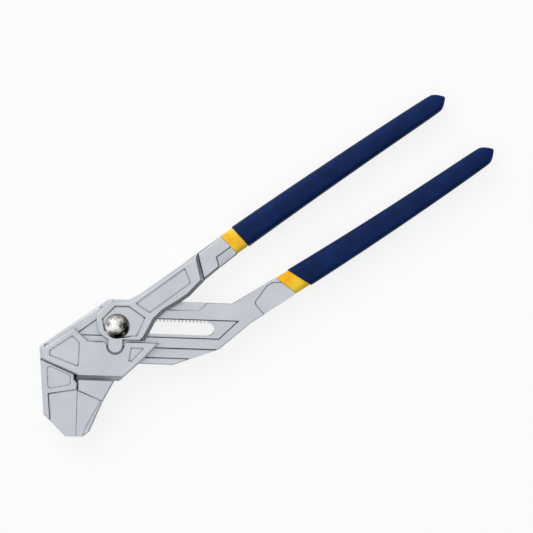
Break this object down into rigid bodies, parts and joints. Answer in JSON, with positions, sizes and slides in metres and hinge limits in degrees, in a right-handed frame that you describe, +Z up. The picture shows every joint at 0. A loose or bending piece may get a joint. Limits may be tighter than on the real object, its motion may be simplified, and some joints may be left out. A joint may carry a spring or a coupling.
{
  "type": "water pump pliers",
  "caption": "Parallel-jaw adjustable pliers: a jaw slides along a slotted bar, driven by a lobed lever on a push-button pivot, with vinyl-dipped handles.",
  "frame": {"origin": "centre of the footprint, on the surface that the pliers lie on, button up", "axes": "+X along the slot, from the jaws towards the handles; +Y across the bar, away from the jaws; +Z up through the button"},
  "size_m": [0.2238, 0.1768, 0.0192],
  "materials": {
    "forged_steel": "satin chrome plating on forged steel",
    "turned_steel": "turned and ground steel",
    "bright_chrome": "polished chrome plating",
    "yellow_vinyl": "soft dipped vinyl, low gloss",
    "navy_vinyl": "soft dipped vinyl, low gloss"
  },
  "bodies": {
    "slotted_handle": {"slotted_handle": "forged_steel", "lower_band": "yellow_vinyl", "lower_grip": "navy_vinyl"},
    "hinge_pin": {"hinge_pin": "turned_steel", "thrust_washer": "turned_steel", "retaining_ring": "turned_steel"},
    "lever_handle": {"lever_handle": "forged_steel", "upper_band": "yellow_vinyl", "upper_grip": "navy_vinyl"},
    "sliding_jaw": {"sliding_jaw": "forged_steel"},
    "push_button": {"push_button": "bright_chrome", "locking_collar": "turned_steel", "button_spring": "turned_steel"}
  },
  "joints": [
    {"name": "pivot_slide", "type": "slide", "parent": "slotted_handle", "child": "hinge_pin", "axis": [1, 0, 0], "range_m": [0, 0.0333]},
    {"name": "lever_swing", "type": "hinge", "parent": "hinge_pin", "child": "lever_handle", "pos_m": [-0.07344, -0.03272, 0.008], "axis": [0, 0, 1], "range_deg": [0, 20]},
    {"name": "jaw_slide", "type": "slide", "parent": "hinge_pin", "child": "sliding_jaw", "axis": [1, 0, 0], "range_m": [0, 0.0034]},
    {"name": "button_press", "type": "slide", "parent": "hinge_pin", "child": "push_button", "axis": [0, 0, -1], "range_m": [0, 0.0019], "stiffness_N_per_m": 2500, "springref_m": -0.0012, "deforming": ["button_spring"]}
  ],
  "couplings": [
    {"joint": "jaw_slide", "follows": "lever_swing", "m_per_rad": 0.00965}
  ]
}
